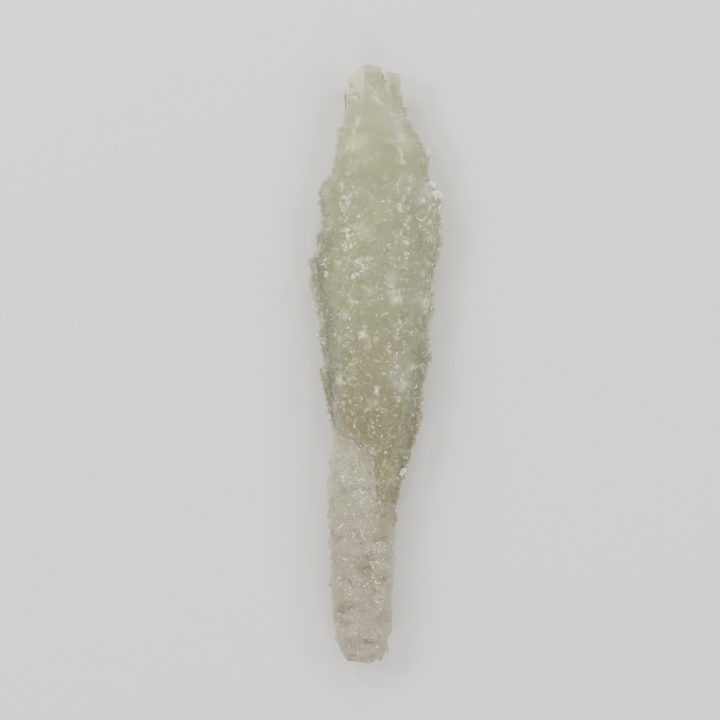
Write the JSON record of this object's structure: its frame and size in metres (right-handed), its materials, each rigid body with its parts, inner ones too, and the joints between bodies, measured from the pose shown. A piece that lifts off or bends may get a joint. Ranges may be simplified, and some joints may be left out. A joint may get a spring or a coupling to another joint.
{
  "type": "feather calcite specimen",
  "caption": "Flat leaf-shaped sheaf of nail-head calcite crystals with saw-toothed edges, on a rounded stalk under a crust of fine white crystals. It lies on its back.",
  "frame": {"origin": "under the middle of the specimen's length and width, on the surface that its back lies on", "axes": "+Y along the growth from the stalk's end to the leaf's tip, +X to the leaf's right side, +Z out of its front"},
  "size_m": [0.0456, 0.1998, 0.0228],
  "materials": {
    "calcite": "translucent pale grey-green calcite with glassy crystal faces, turning sugar-white on the stalk"
  },
  "bodies": {
    "root": {"feather_calcite": "calcite"}
  },
  "joints": []
}
